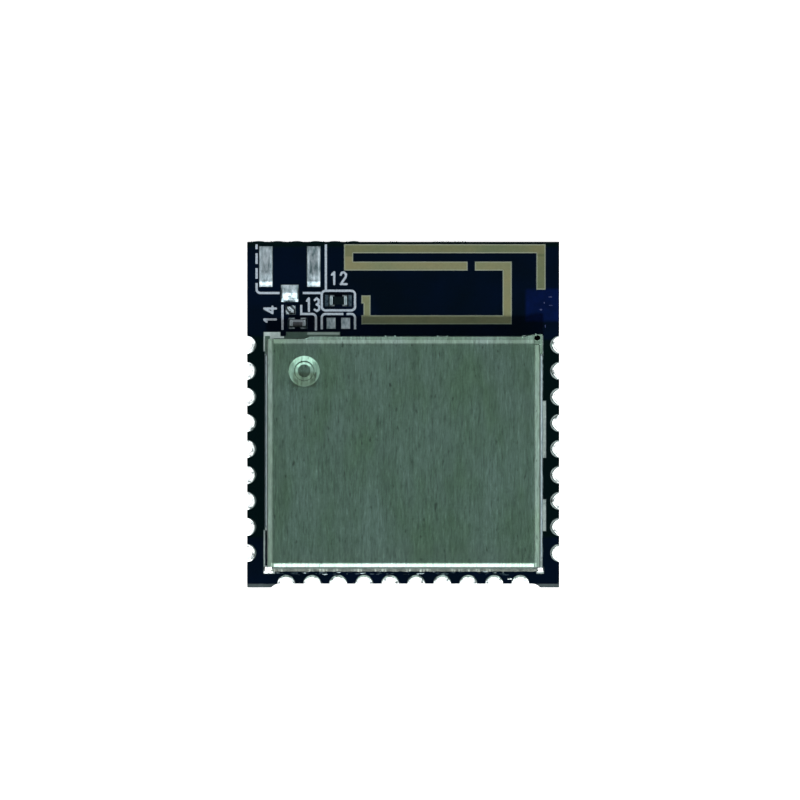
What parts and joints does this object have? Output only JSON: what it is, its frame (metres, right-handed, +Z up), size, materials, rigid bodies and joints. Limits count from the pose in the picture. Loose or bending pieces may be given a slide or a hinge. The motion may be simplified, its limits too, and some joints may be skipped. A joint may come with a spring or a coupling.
{
  "type": "wifi module",
  "caption": "Surface-mount radio module: board with half-hole terminals, bare trace antenna, socket lands and a folded sheet shield over its chips.",
  "frame": {"origin": "centre of the underside, on the plane of the terminals' lands", "axes": "+Y along the board from the terminal end to the antenna end, +X across it, +Z up through the shield"},
  "size_m": [0.018, 0.02, 0.003],
  "materials": {
    "laminate": "sawn glass laminate",
    "mask": "dark blue solder mask",
    "print": "screen-printed ink",
    "tin": "bright tin over copper",
    "gold": "thin pale gold over copper",
    "solder": "reflowed solder",
    "sheet": "brushed tinned sheet",
    "epoxy": "moulded epoxy",
    "ceramic": "fired ceramic",
    "ferrite": "pressed ferrite"
  },
  "bodies": {
    "root": {"board_laminate": "laminate", "solder_mask_top": "mask", "solder_mask_bottom": "mask", "printed_outlines": "print", "terminals_left": "tin", "terminals_right": "tin", "terminals_front": "tin", "ground_land": "tin", "antenna_outer_arm": "gold", "antenna_inner_arm": "gold", "socket_ground_land_left": "tin", "socket_ground_land_right": "tin", "socket_signal_land": "tin", "matching_lands": "tin", "matching_resistor_body": "epoxy", "matching_resistor_ends": "tin", "matching_capacitor_body": "ceramic", "matching_capacitor_ends": "tin", "shield_land": "tin", "shield_solder": "solder", "shield_can": "sheet", "component_lands": "tin", "radio_chip": "epoxy", "radio_chip_leads": "tin", "memory_chip": "epoxy", "memory_chip_leads": "tin", "crystal_base": "ceramic", "crystal_lid": "tin", "power_inductor": "ferrite", "power_inductor_ends": "tin", "supply_capacitor": "ceramic", "back_capacitor_1": "ceramic", "back_capacitor_2": "ceramic", "back_capacitor_3": "ceramic", "back_capacitor_4": "ceramic", "side_capacitor_1": "ceramic", "side_capacitor_2": "ceramic", "side_capacitor_3": "ceramic", "crystal_capacitor_1": "ceramic", "crystal_capacitor_2": "ceramic", "pull_up_resistor_1": "epoxy", "pull_up_resistor_2": "epoxy", "pull_up_resistor_3": "epoxy"}
  },
  "joints": []
}
